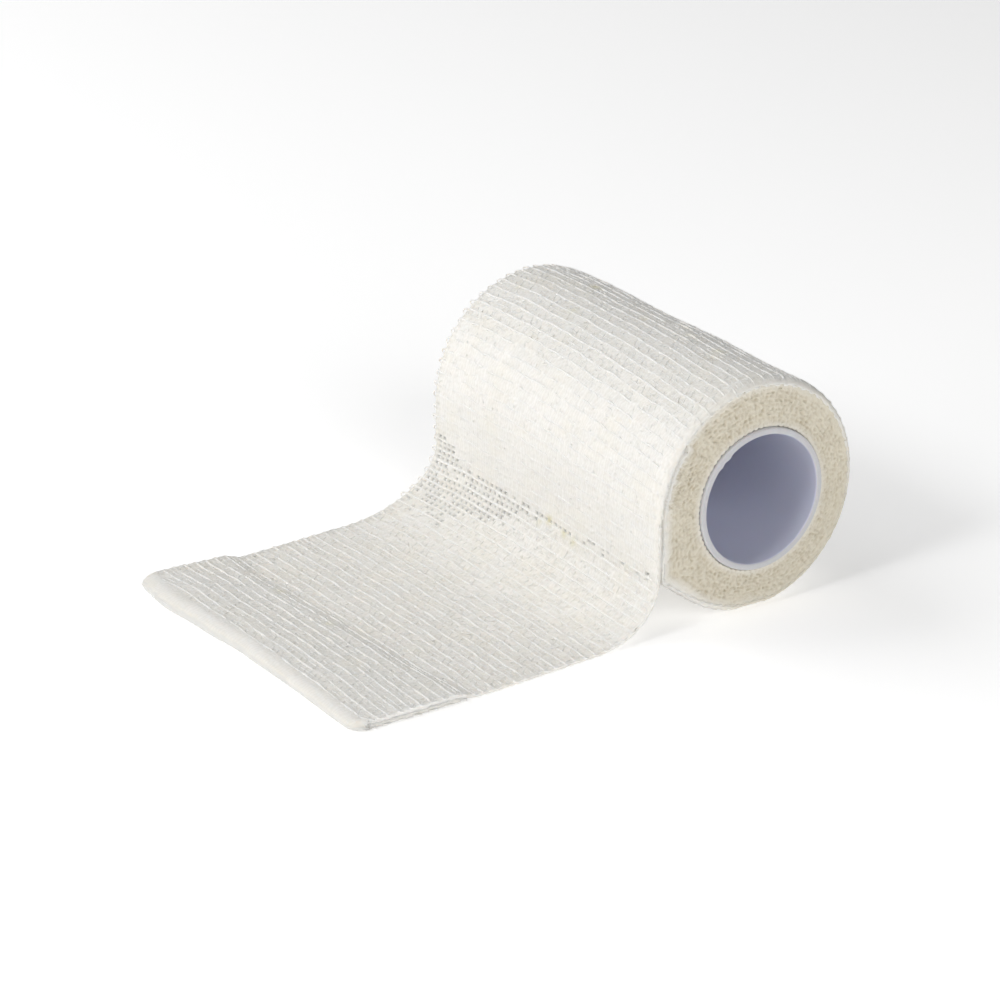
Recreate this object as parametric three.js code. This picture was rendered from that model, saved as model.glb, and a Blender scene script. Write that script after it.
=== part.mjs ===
// A cohesive bandage roll lying on its side: one strip of crepe gauze wound on a plastic core. The loose end
// leaves the left of the roll, curves down and lies flat, with its cut end turned under.
// Millimetres, +Z up. Y runs along the roll, the loose end points to -X and the surface is z = 0.

import * as THREE from 'three';

// Driving dimensions of the strip
const STRIP_WIDTH = 75;
const CLOTH_THICKNESS = 1.0;
const LAYER_GAP = 0.3;

// Driving dimensions of the roll. It sags a little, so it is taller than it is wide before its foot flattens.
const ROLL_HALF_ACROSS = 23.1;
const ROLL_HALF_TALL = 23.4;
const AXIS_HEIGHT = 22.95;
const SHOULDER_INSET = 1.5;
const SHOULDER_LENGTH = 2.6;
const WINDING_WAVE = 0.12;
const WINDING_WAVE_TURN = 7.3;
const NOTCH_FADE = 45;

// Driving dimensions of the core, which sits a little low and to the right in its winding
const CORE_BORE_RADIUS = 12.8;
const CORE_WALL = 1.3;
const CORE_LENGTH = 75.8;
const CORE_EDGE_ROUND = 0.3;
const CORE_SHIFT = { x: 1.0, z: -0.7 };
const CORE_CLEARANCE = 0.3;
const CORE_SEGMENTS = 64;

// Driving dimensions of the loose end: the turned-under length and the rise of the top layer over it
const TURN_LENGTH = 19;
const RISE_LENGTH = 3.6;
const RISE_LEAN = 0.6;
const CORNER_ROUND = 2.4;
const TAIL_DRIFT = -2.0;
const TAIL_NARROWING = 0.5;

// Where the cloth leaves the roll and where it lands, at each selvage. side runs from -1 (near) to 1 (far).
const PEEL = [
  { side: -1, leaves: 10.8, lands: 36 },
  { side: 1, leaves: 13.4, lands: 45 },
];

// The uneven fold at the far end of the loose end: its reach from the roll's axis and how much it puffs up
const FOLD = [
  { side: -1.0, reach: 89.0, puff: 0.2 },
  { side: -0.55, reach: 89.5, puff: 0.35 },
  { side: 0.0, reach: 90.6, puff: 0.3 },
  { side: 0.4, reach: 92.0, puff: 0.1 },
  { side: 0.7, reach: 92.6, puff: 0.4 },
  { side: 1.0, reach: 91.4, puff: 0.2 },
];

// Stations across the strip, closer together at the rounded ends. inward is the distance from the selvage.
const END_STATIONS = [0, 0.25, 0.7, 1.4, 2.6];
const MIDDLE_STATIONS = 17;

// Facets along each stretch of the section
const STEPS = { wound: 50, left: 3, curve: 12, flat: 4, rise: 5, double: 6, fold: 8, stretched: 3, lower: 5 };

const lerp = THREE.MathUtils.lerp;
const { degToRad, radToDeg, smoothstep } = THREE.MathUtils;

// Reads a column of a table at a place across the strip, easing between rows
function readTable(table, column, side) {
  const last = table.length - 1;
  if (side <= table[0].side) return table[0][column];
  if (side >= table[last].side) return table[last][column];
  const upper = table.findIndex((row) => row.side > side);
  const low = table[upper - 1];
  const high = table[upper];
  const share = smoothstep(side, low.side, high.side);
  return lerp(low[column], high[column], share);
}

// A row of points on an elliptical arc, angles in degrees counted from +X towards +Z
function arc(centre, halfAcross, halfTall, from, to, steps) {
  const points = [];
  for (let i = 0; i <= steps; i += 1) {
    const angle = degToRad(lerp(from, to, i / steps));
    points.push(new THREE.Vector2(
      centre.x + halfAcross * Math.cos(angle),
      centre.y + halfTall * Math.sin(angle),
    ));
  }
  return points;
}

// Points spaced evenly on a straight run, without its first point
function run(from, to, steps) {
  const points = [];
  for (let i = 1; i <= steps; i += 1) points.push(from.clone().lerp(to, i / steps));
  return points;
}

// A smooth S from one point to another, without its first point
function ease(from, to, steps) {
  const points = [];
  for (let i = 1; i <= steps; i += 1) {
    const share = i / steps;
    points.push(new THREE.Vector2(
      lerp(from.x, to.x, share),
      lerp(from.y, to.y, smoothstep(share, 0, 1)),
    ));
  }
  return points;
}

// How far the roll's soft shoulder draws in at a distance from its end face
function shoulder(inward) {
  if (inward >= SHOULDER_LENGTH) return 0;
  const share = 1 - inward / SHOULDER_LENGTH;
  return SHOULDER_INSET * (1 - Math.sqrt(1 - share * share));
}

// The strip's section in the XZ plane at one station, as one closed outline with a fixed count of points:
// round the roll, down its left side, along the top of the loose end, round its fold and back underneath.
function stripSection(side, inward) {
  const axis = new THREE.Vector2(0, AXIS_HEIGHT);
  const leaves = readTable(PEEL, 'leaves', side);
  const lands = readTable(PEEL, 'lands', side);
  const cornerShare = Math.max(0, 1 - inward / CORNER_ROUND);
  const cornerCut = CORNER_ROUND * (1 - Math.sqrt(1 - cornerShare * cornerShare));
  const reach = readTable(FOLD, 'reach', side) - cornerCut;
  const puff = readTable(FOLD, 'puff', side);
  const draw = shoulder(inward);
  const wave = WINDING_WAVE * Math.sin(side * WINDING_WAVE_TURN);

  const footAngle = radToDeg(Math.asin(AXIS_HEIGHT / ROLL_HALF_TALL));
  const notch = new THREE.Vector2(-ROLL_HALF_ACROSS + CLOTH_THICKNESS, leaves);
  const notchAcross = notch.x / ROLL_HALF_ACROSS;
  const notchUp = (notch.y - AXIS_HEIGHT) / ROLL_HALF_TALL;
  const notchAngle = radToDeg(Math.atan2(notchUp, notchAcross)) + 360;
  const grazeAngle = notchAngle + radToDeg(Math.acos(1 / Math.hypot(notchAcross, notchUp)));

  // Moves a point of the wound part towards the axis by the shoulder, fading out at the notch
  const drawIn = (point) => {
    const arm = point.clone().sub(axis);
    const angle = radToDeg(Math.atan2(arm.y, arm.x)) + 360;
    const apart = Math.abs(((angle - notchAngle + 540) % 360) - 180);
    const share = smoothstep(apart, 0, NOTCH_FADE);
    const aboveFoot = smoothstep(arm.y, -AXIS_HEIGHT, 0);
    return point.clone().sub(arm.setLength((draw + wave * aboveFoot) * share));
  };

  // The wound part, from the right of the flat foot over the top to the left of the roll
  const woundPart = arc(axis, ROLL_HALF_ACROSS, ROLL_HALF_TALL, -footAngle, 180, STEPS.wound);
  const leftSide = run(woundPart.at(-1), new THREE.Vector2(-ROLL_HALF_ACROSS, leaves), STEPS.left);

  // The top of the loose end, landing in a quarter ellipse and rising again over the turned-under layer
  const landing = new THREE.Vector2(-lands, leaves);
  const topCurve = arc(
    landing, lands - ROLL_HALF_ACROSS, leaves - CLOTH_THICKNESS, 0, -90, STEPS.curve,
  ).slice(1);
  const turnStart = -(reach - TURN_LENGTH);
  const foldMiddle = -(reach - CLOTH_THICKNESS - LAYER_GAP / 2);
  const layerTop = CLOTH_THICKNESS;
  const slotTop = CLOTH_THICKNESS + LAYER_GAP;
  const foldTop = slotTop + CLOTH_THICKNESS;
  const beforeRise = new THREE.Vector2(turnStart + RISE_LENGTH, layerTop);
  const afterRise = new THREE.Vector2(turnStart - RISE_LEAN, foldTop);
  const foldStart = new THREE.Vector2(foldMiddle, foldTop);
  const topFlat = run(topCurve.at(-1), beforeRise, STEPS.flat);
  const topRise = ease(beforeRise, afterRise, STEPS.rise);
  const topDouble = run(afterRise, foldStart, STEPS.double).map((point, i) => {
    const bulge = Math.sin(Math.PI * (i + 1) / STEPS.double) * puff;
    return new THREE.Vector2(point.x, point.y + bulge);
  });
  const foldRound = arc(
    new THREE.Vector2(foldMiddle, foldTop / 2), foldTop / 2, foldTop / 2, 90, 270, STEPS.fold,
  ).slice(1);

  // The turned-under layer: floor, cut edge, its top, the inner fold and the underside of the top layer
  const cutFoot = new THREE.Vector2(turnStart, 0);
  const cutTop = new THREE.Vector2(turnStart, layerTop);
  const slotLow = new THREE.Vector2(foldMiddle, layerTop);
  const slotHigh = new THREE.Vector2(foldMiddle, slotTop);
  const slotMouth = new THREE.Vector2(turnStart - RISE_LEAN, slotTop);
  const underFoot = new THREE.Vector2(turnStart + RISE_LENGTH - RISE_LEAN, 0);
  const turnedLayer = [
    ...run(foldRound.at(-1), cutFoot, STEPS.flat), cutTop, slotLow, slotHigh, slotMouth,
    ...ease(slotMouth, underFoot, STEPS.rise),
  ];

  // The underside of the loose end back up to the notch, then the wound part down to its flat foot
  const touchDown = new THREE.Vector2(-lands, 0);
  const underFlat = run(underFoot, touchDown, STEPS.flat);
  const underCurve = arc(
    landing, lands - ROLL_HALF_ACROSS + CLOTH_THICKNESS, leaves, -90, 0, STEPS.curve,
  ).slice(1);
  const lowerLeft = arc(axis, ROLL_HALF_ACROSS, ROLL_HALF_TALL, grazeAngle, 180 + footAngle, STEPS.lower);
  const stretched = run(notch, lowerLeft[0], STEPS.stretched).slice(0, -1);

  const wound = [...woundPart, ...leftSide].map(drawIn);
  const tail = [...topCurve, ...topFlat, ...topRise, ...topDouble, ...foldRound, ...turnedLayer,
    ...underFlat, ...underCurve];
  const back = [...stretched, ...lowerLeft].map(drawIn);
  return [...wound, ...tail, ...back];
}

// How far a point is moved along Y: the loose end drifts towards the near side and gets a little narrower
function drift(x, side) {
  const share = smoothstep(-x, ROLL_HALF_ACROSS, FOLD[0].reach);
  return (TAIL_DRIFT - TAIL_NARROWING * side) * share;
}

// The distances from the near selvage at which the section is taken
function stationPlaces() {
  const first = END_STATIONS.at(-1);
  const places = [...END_STATIONS];
  for (let i = 1; i <= MIDDLE_STATIONS; i += 1) {
    places.push(lerp(first, STRIP_WIDTH - first, i / (MIDDLE_STATIONS + 1)));
  }
  for (const inward of [...END_STATIONS].reverse()) places.push(STRIP_WIDTH - inward);
  return places;
}

// Turns rows of vertices and a list of triangles into an indexed geometry
function meshGeometry(vertices, triangles) {
  const geometry = new THREE.BufferGeometry();
  geometry.setAttribute('position', new THREE.Float32BufferAttribute(vertices.flat(), 3));
  geometry.setIndex(triangles.flat());
  geometry.computeVertexNormals();
  return geometry;
}

// The whole strip: sections lofted along Y, a bore for the core and two flat end faces
function stripGeometry() {
  const places = stationPlaces();
  const sections = places.map((place) => {
    const side = (2 * place) / STRIP_WIDTH - 1;
    return stripSection(side, Math.min(place, STRIP_WIDTH - place));
  });
  const count = sections[0].length;
  const vertices = [];
  const triangles = [];
  sections.forEach((section, row) => {
    const across = places[row] - STRIP_WIDTH / 2;
    const side = (2 * across) / STRIP_WIDTH;
    for (const point of section) {
      vertices.push([point.x, across + drift(point.x, side), Math.max(point.y, 0)]);
    }
  });
  for (let row = 0; row < places.length - 1; row += 1) {
    for (let i = 0; i < count; i += 1) {
      const next = (i + 1) % count;
      const a = row * count + i;
      const b = row * count + next;
      const c = a + count;
      const d = b + count;
      triangles.push([a, c, b], [b, c, d]);
    }
  }

  const boreRadius = CORE_BORE_RADIUS + CORE_WALL + CORE_CLEARANCE;
  const boreCentre = new THREE.Vector2(CORE_SHIFT.x, AXIS_HEIGHT + CORE_SHIFT.z);
  const bore = arc(boreCentre, boreRadius, boreRadius, 0, 360, CORE_SEGMENTS).slice(0, -1);
  const nearBore = vertices.length;
  for (const point of bore) vertices.push([point.x, -STRIP_WIDTH / 2, point.y]);
  const farBore = vertices.length;
  for (const point of bore) vertices.push([point.x, STRIP_WIDTH / 2, point.y]);
  for (let i = 0; i < CORE_SEGMENTS; i += 1) {
    const next = (i + 1) % CORE_SEGMENTS;
    triangles.push([nearBore + i, nearBore + next, farBore + i]);
    triangles.push([nearBore + next, farBore + next, farBore + i]);
  }

  const farRow = (places.length - 1) * count;
  const endFaces = [
    { outline: sections[0], rowStart: 0, boreStart: nearBore, flip: false },
    { outline: sections.at(-1), rowStart: farRow, boreStart: farBore, flip: true },
  ];
  for (const face of endFaces) {
    const outline = face.outline.map((point) => new THREE.Vector2(point.x, Math.max(point.y, 0)));
    for (const triangle of THREE.ShapeUtils.triangulateShape(outline, [bore])) {
      const corners = triangle.map((i) => (i < count ? face.rowStart + i : face.boreStart + i - count));
      triangles.push(face.flip ? corners.reverse() : corners);
    }
  }
  return meshGeometry(vertices, triangles);
}

// The core: a turned ring section with softened edges, its axis brought from Y of the lathe to Y of the roll
function coreGeometry() {
  const inner = CORE_BORE_RADIUS;
  const outer = CORE_BORE_RADIUS + CORE_WALL;
  const half = CORE_LENGTH / 2;
  const soft = CORE_EDGE_ROUND;
  const profile = [
    new THREE.Vector2(inner, -half + soft),
    new THREE.Vector2(inner + soft, -half),
    new THREE.Vector2(outer - soft, -half),
    new THREE.Vector2(outer, -half + soft),
    new THREE.Vector2(outer, half - soft),
    new THREE.Vector2(outer - soft, half),
    new THREE.Vector2(inner + soft, half),
    new THREE.Vector2(inner, half - soft),
    new THREE.Vector2(inner, -half + soft),
  ];
  return new THREE.LatheGeometry(profile, CORE_SEGMENTS);
}

const clothMaterial = new THREE.MeshStandardMaterial({ color: 0xf0ede4, roughness: 0.95, metalness: 0 });
const coreMaterial = new THREE.MeshStandardMaterial({ color: 0xd8d8e3, roughness: 0.35, metalness: 0 });

const bandage = new THREE.Mesh(stripGeometry(), clothMaterial);
bandage.name = 'bandage';

const core = new THREE.Mesh(coreGeometry(), coreMaterial);
core.name = 'core';
core.position.set(CORE_SHIFT.x, 0, AXIS_HEIGHT + CORE_SHIFT.z);

const roll = new THREE.Group();
roll.add(bandage, core);

// The origin is the middle of the whole object's footprint
const footprint = new THREE.Box3().setFromObject(roll);
roll.position.x = -(footprint.min.x + footprint.max.x) / 2;

export default roll;
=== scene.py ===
# %% [markdown]
# # A cohesive bandage roll
# The real thing is one strip of crepe gauze, 75 mm wide, wound on a short plastic core. Its loose end
# has been peeled off to the left, lies flat and has its cut end turned under. Crepe gauze is an open
# plain weave: thick weft threads run across the strip and show as ribs, and thin stretchy warp threads
# run along it and pull the ribs together. A thin coat of natural latex makes the cloth stick to itself
# but not to skin.
#
# The strip could be one bent sheet with the weave painted on. Here the threads are real tubes that lie
# on a thin ground of fluff and latex, because the ribs, the small holes and the looped selvages all show
# in the outline.

# %% Load the fixed frame
import math
import bpy
import numpy as np
from mathutils import Matrix, Vector


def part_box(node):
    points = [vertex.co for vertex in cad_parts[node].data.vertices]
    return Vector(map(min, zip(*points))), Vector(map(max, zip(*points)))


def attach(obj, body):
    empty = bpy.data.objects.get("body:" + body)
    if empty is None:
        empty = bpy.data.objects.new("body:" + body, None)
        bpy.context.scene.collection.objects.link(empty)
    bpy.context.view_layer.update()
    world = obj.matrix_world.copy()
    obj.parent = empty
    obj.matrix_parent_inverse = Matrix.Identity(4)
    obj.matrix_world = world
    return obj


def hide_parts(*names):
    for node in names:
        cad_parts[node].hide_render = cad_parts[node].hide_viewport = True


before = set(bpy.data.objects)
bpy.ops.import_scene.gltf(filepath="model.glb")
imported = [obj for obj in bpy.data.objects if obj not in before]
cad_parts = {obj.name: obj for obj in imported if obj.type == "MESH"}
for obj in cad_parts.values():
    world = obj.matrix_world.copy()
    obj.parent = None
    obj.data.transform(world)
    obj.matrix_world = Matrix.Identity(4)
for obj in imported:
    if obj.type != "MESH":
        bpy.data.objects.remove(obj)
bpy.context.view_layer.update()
mm = 0.001

# %% [markdown]
# ## Sizes
# The frame gives the place of the core. The other sizes start from those of the solids, in metres, and
# the fold, the far shoulder and the climb over the turned-under end were then brought closer to the
# photo. The word side stands for a place across the strip: -1 at the near selvage, 1 at the far one.

# %% Sizes of the strip, the roll and the core
STRIP_WIDTH = 75 * mm
CLOTH_THICKNESS = 1.0 * mm
ROLL_HALF_ACROSS = 23.1 * mm
ROLL_HALF_TALL = 23.4 * mm
AXIS_HEIGHT = 22.95 * mm
CORE_SHIFT = 1.0 * mm

core_low, core_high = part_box("core")
CORE_RADIUS = (core_high.x - core_low.x) / 2
CORE_X = (core_high.x + core_low.x) / 2
CORE_Z = (core_high.z + core_low.z) / 2
CORE_LENGTH = core_high.y - core_low.y
AXIS_X = CORE_X - CORE_SHIFT
print("roll axis at", round(AXIS_X / mm, 2), "mm, core radius", round(CORE_RADIUS / mm, 2), "mm")

# %% [markdown]
# ## The line of the cloth
# Seen from the end, the outermost turn is one line: it comes out from under itself at the left, goes
# under the roll, up its right side and over the top, leaves the roll, curves down to the table, climbs
# over its own turned-under end and folds back beneath. Each stretch is an arc or a straight run, as in
# the solid, but half a cloth thickness further in, so that it is the middle of the cloth.

# %% Arcs, runs and tables
LINE_STEP = 0.4 * mm


def smooth(share):
    share = np.clip(share, 0, 1)
    return share * share * (3 - 2 * share)


def arc(centre, half_across, half_tall, start, end):
    """Points on an elliptical arc, its angles in degrees counted from +X towards +Z."""
    count = 2 + int(abs(math.radians(end - start)) * max(half_across, half_tall) / LINE_STEP)
    angle = np.radians(np.linspace(start, end, count))
    return np.stack([centre[0] + half_across * np.cos(angle), centre[1] + half_tall * np.sin(angle)], axis=1)


def run(start, end, count=24):
    share = np.linspace(0, 1, count)[:, None]
    return np.array(start) + (np.array(end) - np.array(start)) * share


def ease(start, end, count=24):
    """A smooth S from one point to another."""
    share = np.linspace(0, 1, count)
    return np.stack([
        start[0] + (end[0] - start[0]) * share,
        start[1] + (end[1] - start[1]) * smooth(share),
    ], axis=1)


def read_table(rows, column, side):
    """A column of a table at a place across the strip, easing from row to row."""
    if side <= rows[0][0]:
        return rows[0][column]
    for low, high in zip(rows, rows[1:]):
        if side <= high[0]:
            share = smooth((side - low[0]) / (high[0] - low[0]))
            return low[column] + (high[column] - low[column]) * share
    return rows[-1][column]


half_turn = arc((0, AXIS_HEIGHT), ROLL_HALF_ACROSS, ROLL_HALF_TALL, 0, 180)
print("half a turn of the roll takes", len(half_turn), "points")

# %% [markdown]
# The wound part starts hidden, one thickness further in. At the left it lets go of the roll at a height
# that rises from the near to the far selvage, and the turn below goes on from that notch.

# %% The wound part of the line
# side, height where the cloth leaves the roll, distance from the axis where it lands
PEEL = [(-1.0, 10.8 * mm, 36 * mm), (1.0, 13.4 * mm, 45 * mm)]
MIDDLE = CLOTH_THICKNESS / 2
HIDDEN_FROM = 140.0


def wound_line(side):
    """From the hidden start under the loose end, round the roll to its top, then to its left side."""
    leaves = read_table(PEEL, 1, side)
    axis = (0, AXIS_HEIGHT)
    across = ROLL_HALF_ACROSS - MIDDLE
    tall = ROLL_HALF_TALL - MIDDLE
    foot = math.degrees(math.asin(AXIS_HEIGHT / ROLL_HALF_TALL))
    inner_across = across - CLOTH_THICKNESS
    notch = (-inner_across, leaves)
    notch_across = notch[0] / across
    notch_up = (notch[1] - AXIS_HEIGHT) / tall
    notch_angle = math.degrees(math.atan2(notch_up, notch_across)) + 360
    graze = notch_angle + math.degrees(math.acos(1 / math.hypot(notch_across, notch_up)))
    hidden = arc(axis, inner_across, tall - CLOTH_THICKNESS, HIDDEN_FROM, 180)
    behind = run(hidden[-1], notch)
    lower_left = arc(axis, across, tall, graze, 180 + foot)
    stretched = run(notch, lower_left[0])
    right = arc(axis, across, tall, -foot, 90)
    under = run(lower_left[-1], right[0])
    left = arc(axis, across, tall, 90, 180)
    up_to_top = [hidden, behind[1:], stretched[1:], lower_left[1:], under[1:], right[1:]]
    return np.concatenate(up_to_top), left[1:], notch_angle


print("the near selvage leaves the roll at", round(wound_line(-1.0)[2] % 360), "degrees from +X")

# %% [markdown]
# The loose end lands on the table, climbs over its own turned-under end and turns back in a soft fold.
# Cloth that is only laid down doesn't fold straight, so the fold has its own short table.

# %% The loose end of the line
LAYER_GAP = 0.3 * mm
TURN_ROUND = 2.6 * mm
RISE_LENGTH = 4.8 * mm
RISE_LEAN = 0.6 * mm
TUCKED_REACH = 6.4 * mm
TUCKED_POINTS = 60

# side, reach of the fold from the roll's axis, puff of the double layer, length turned under, loft
FOLD = [
    (-1.0, 90.6 * mm, 0.0 * mm, 22.5 * mm, 0.1 * mm),
    (-0.55, 90.7 * mm, 0.3 * mm, 19.8 * mm, 0.5 * mm),
    (0.0, 91.0 * mm, 0.3 * mm, 19.0 * mm, 0.7 * mm),
    (0.4, 92.3 * mm, 0.1 * mm, 19.0 * mm, 0.9 * mm),
    (0.7, 93.3 * mm, 0.3 * mm, 19.0 * mm, 0.9 * mm),
    (1.0, 92.4 * mm, 0.2 * mm, 19.0 * mm, 0.5 * mm),
]


def loose_line(side):
    """From the left side of the roll down to the table, out to the fold and back to the cut end."""
    leaves = read_table(PEEL, 1, side)
    lands = read_table(PEEL, 2, side)
    reach = read_table(FOLD, 1, side)
    puff = read_table(FOLD, 2, side)
    turned_under = read_table(FOLD, 3, side)
    loft = read_table(FOLD, 4, side)
    left = -(ROLL_HALF_ACROSS - MIDDLE)
    low = MIDDLE
    high = low + CLOTH_THICKNESS + LAYER_GAP
    top = high + loft
    turn_start = -(reach - turned_under)
    fold_middle = -(reach - MIDDLE - TURN_ROUND)
    before_rise = (turn_start + RISE_LENGTH, low)
    after_rise = (turn_start - RISE_LEAN, high)
    down = run((left, AXIS_HEIGHT), (left, leaves))
    curve = arc((-lands, leaves), lands + left, leaves - low, 0, -90)
    flat = run(curve[-1], before_rise, 40)
    rise = ease(before_rise, after_rise)
    double = ease(after_rise, (fold_middle, top), 48)
    double[:, 1] += puff * np.sin(np.linspace(0, math.pi, len(double)))
    turn = arc((fold_middle, (low + top) / 2), TURN_ROUND, (top - low) / 2, 90, 270)
    tucked = run(turn[-1], (turn_start + TUCKED_REACH, low), TUCKED_POINTS)
    return np.concatenate([down[1:], curve[1:], flat[1:], rise[1:], double[1:], turn[1:], tucked[1:]])


fold_reach = -loose_line(0.0)[:, 0].min()
print("halfway across, the loose end reaches", round(fold_reach / mm, 1), "mm from the roll's axis")

# %% [markdown]
# ## The shoulders
# Wound cloth draws in a little at the ends of the roll, where no neighbour holds the selvages. The near
# end of this roll is round, the far one much squarer.

# %% How far a shoulder draws in
NEAR_SHOULDER_INSET = 1.1 * mm
FAR_SHOULDER_INSET = 0.3 * mm
SHOULDER_LENGTH = 2.6 * mm


def shoulder(across):
    near_share = np.clip(1 - across / SHOULDER_LENGTH, 0, 1)
    far_share = np.clip(1 - (STRIP_WIDTH - across) / SHOULDER_LENGTH, 0, 1)
    near = NEAR_SHOULDER_INSET * (1 - np.sqrt(1 - near_share ** 2))
    return near + FAR_SHOULDER_INSET * (1 - np.sqrt(1 - far_share ** 2))


print("half a millimetre in, the near shoulder draws in", round(shoulder(0.5 * mm) / mm, 2), "mm")

# %% [markdown]
# ## A map of the cloth
# Every thread is placed by two distances: across, from the near selvage, and down, along the cloth from
# the top of the roll towards the loose end. One grid of points and outward directions answers where that
# is, and a thread lies a small lift above it. Distances are measured on the line without the soft
# shoulder, so the ribs stay straight where the shoulder draws in.

# %% Sections across the strip
MAP_STEP = 0.25 * mm
END_STATIONS = [0, 0.08, 0.2, 0.4, 0.65, 0.95, 1.3, 1.7, 2.2, 2.8, 3.6]
INNER_STATIONS = 56
LOOSE_LENGTH = 140.5 * mm
CORNER_ROUND = 2.4 * mm
CORNER_REACH = 7 * mm
WINDING_WAVE = 0.12 * mm
WINDING_WAVE_TURN = 7.3
NOTCH_FADE = 45.0
TAIL_DRIFT = -2.35 * mm
TAIL_NARROWING = 0.15 * mm
NEAR_FLARE = 0.7 * mm


def stations():
    ends = [place * mm for place in END_STATIONS]
    middle = np.linspace(ends[-1], STRIP_WIDTH - ends[-1], INNER_STATIONS + 2)[1:-1]
    return np.array(ends + list(middle) + [STRIP_WIDTH - place for place in reversed(ends)])


def section_at(across):
    """The line of the cloth at one distance from the near selvage, and how far down it each point is."""
    side = 2 * across / STRIP_WIDTH - 1
    inward = min(across, STRIP_WIDTH - across)
    corner_share = max(0.0, 1 - inward / CORNER_ROUND)
    corner_cut = CORNER_ROUND * (1 - math.sqrt(1 - corner_share * corner_share))
    rising, falling, notch_angle = wound_line(side)
    plain = np.concatenate([rising, falling, loose_line(side)])
    near_fold = smooth((-plain[:, 0] - read_table(FOLD, 1, side) + CORNER_REACH) / CORNER_REACH)
    shaped = plain + np.stack([corner_cut * near_fold, np.zeros(len(plain))], axis=1)
    steps = np.linalg.norm(np.diff(plain, axis=0), axis=1)
    down = np.concatenate([[0], np.cumsum(steps)])
    down -= down[len(rising) - 1]
    tuck_start = down[-TUCKED_POINTS]
    tucked = down[-TUCKED_POINTS:] - tuck_start
    down[-TUCKED_POINTS:] = tuck_start + tucked * (LOOSE_LENGTH - tuck_start) / tucked[-1]

    arm = shaped - np.array([0, AXIS_HEIGHT])
    length = np.linalg.norm(arm, axis=1)
    angle = np.degrees(np.arctan2(arm[:, 1], arm[:, 0])) + 360
    apart = np.abs((angle - notch_angle + 540) % 360 - 180)
    wound = np.arange(len(shaped)) < len(rising) + len(falling)
    fade = smooth(apart / NOTCH_FADE) * wound
    wave = WINDING_WAVE * math.sin(side * WINDING_WAVE_TURN) * smooth(1 + arm[:, 1] / AXIS_HEIGHT)
    shaped = shaped - arm / length[:, None] * ((shoulder(across) + wave) * fade)[:, None]

    on_table = np.clip((-shaped[:, 0] - ROLL_HALF_ACROSS) / (FOLD[0][1] - ROLL_HALF_ACROSS), 0, 1)
    flare = NEAR_FLARE * np.sin(math.pi * on_table) * smooth(-side)
    drift = (TAIL_DRIFT - TAIL_NARROWING * side) * smooth(on_table)
    along_y = across - STRIP_WIDTH / 2 + drift - flare
    points = np.stack([shaped[:, 0] + AXIS_X, along_y, shaped[:, 1]], axis=1)
    return points, down


print("the map has", len(stations()), "sections across the strip")

# %% Build the map
map_across = stations()
sections = [section_at(across) for across in map_across]
DOWN_START = max(down[0] for points, down in sections)
DOWN_END = min(down[-1] for points, down in sections)
map_down = np.arange(DOWN_START, DOWN_END, MAP_STEP)
map_points = np.stack([
    np.stack([np.interp(map_down, down, points[:, k]) for k in range(3)], axis=1)
    for points, down in sections
])
map_outward = np.cross(np.gradient(map_points, axis=0), np.gradient(map_points, axis=1))
map_outward /= np.linalg.norm(map_outward, axis=2, keepdims=True)
fold_down = map_down[np.argmin(map_points[:, :, 0], axis=1)]
print("the fold is", round(fold_down.mean() / mm, 1), "mm down the cloth from the top of the roll")

# %% [markdown]
# A place between four points of the grid is a blend of the four. Loops that reach beyond a selvage go
# straight on from it.

# %% Read a place off the map
def on_cloth(across, down, lift=0.0):
    """The place on the cloth at these distances, raised by lift, and the outward direction there."""
    across, down, lift = np.broadcast_arrays(across, down, lift)
    inside = np.clip(across, 0, STRIP_WIDTH)
    row = np.interp(inside, map_across, np.arange(len(map_across)))
    column = np.clip((down - DOWN_START) / MAP_STEP, 0, len(map_down) - 1.001)
    low_row = np.minimum(row.astype(int), len(map_across) - 2)
    low_column = column.astype(int)
    row_share = (row - low_row)[..., None]
    column_share = (column - low_column)[..., None]

    def along_row(grid, at_row):
        return grid[at_row, low_column] * (1 - column_share) + grid[at_row, low_column + 1] * column_share

    def blend(grid):
        return along_row(grid, low_row) * (1 - row_share) + along_row(grid, low_row + 1) * row_share

    outward = blend(map_outward)
    outward /= np.linalg.norm(outward, axis=-1, keepdims=True)
    place = blend(map_points) + outward * lift[..., None]
    place[..., 1] += across - inside
    return place, outward


top_middle, _ = on_cloth(STRIP_WIDTH / 2, 0.0)
print("the middle of the top of the roll is", round(top_middle[2] / mm, 2), "mm above the table")

# %% [markdown]
# ## The weave
# Crepe yarn is twisted hard and then let go, so it shrinks and kinks. The weft threads lie 1.15 mm
# apart, every second one is pushed up into a rib, and each sways a little from side to side.
# Neighbouring ribs sway alike, and close to the near selvage they bend towards the loose end.

# %% Where the threads lie
WEFT_PITCH = 1.15 * mm
WARP_COUNT = 48
WARP_PITCH = STRIP_WIDTH / WARP_COUNT
WEFT_COUNT = int((DOWN_END - DOWN_START) / WEFT_PITCH) - 1
CUT_END = DOWN_START + (WEFT_COUNT - 0.5) * WEFT_PITCH
PEEL_DOWN = 47.5 * mm
PULLED_BEFORE = 5 * mm
PULLED_AFTER = 20 * mm
SWAY_LENGTH = 5.6 * mm
SWAY = 0.05 * mm
SLOW_SWAY_LENGTH = 15 * mm
SLOW_SWAY = 0.10 * mm
UNEVEN_PITCH = 0.07 * mm
chance = np.random.default_rng(11)
sway_phase = np.cumsum(chance.normal(0, 0.9, WEFT_COUNT + 1))
slow_phase = np.cumsum(chance.normal(0, 0.7, WEFT_COUNT + 1))
uneven_pitch = chance.normal(0, UNEVEN_PITCH, WEFT_COUNT + 1)

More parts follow.
